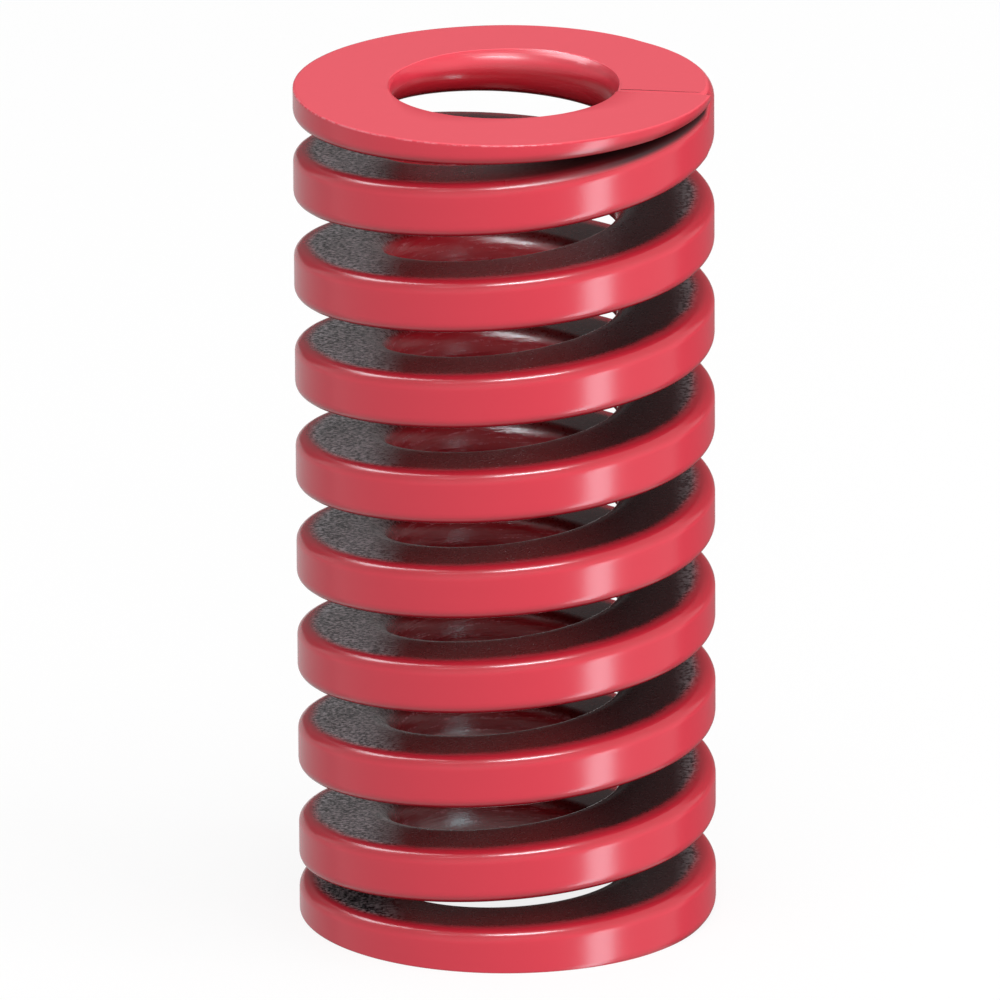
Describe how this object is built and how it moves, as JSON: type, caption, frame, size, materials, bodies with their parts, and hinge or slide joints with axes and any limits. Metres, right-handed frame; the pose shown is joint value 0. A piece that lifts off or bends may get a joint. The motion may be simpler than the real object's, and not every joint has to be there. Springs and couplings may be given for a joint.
{
  "type": "die spring",
  "caption": "Heavy compression spring wound from rectangular wire, with closed and ground ends, that pushes back between two plates while a pin or pocket guides it.",
  "frame": {"origin": "centre of the bottom ground end face, on the spring's axis", "axes": "+Z along the spring's axis from the bottom end to the top end, and the top end's thin tip ends near +X"},
  "size_m": [0.0242, 0.0242, 0.05],
  "materials": {
    "enamelled_wire": "glossy red enamel on chrome-silicon spring steel, thin and dark between the coils"
  },
  "bodies": {
    "root": {"die_spring": "enamelled_wire"}
  },
  "joints": []
}
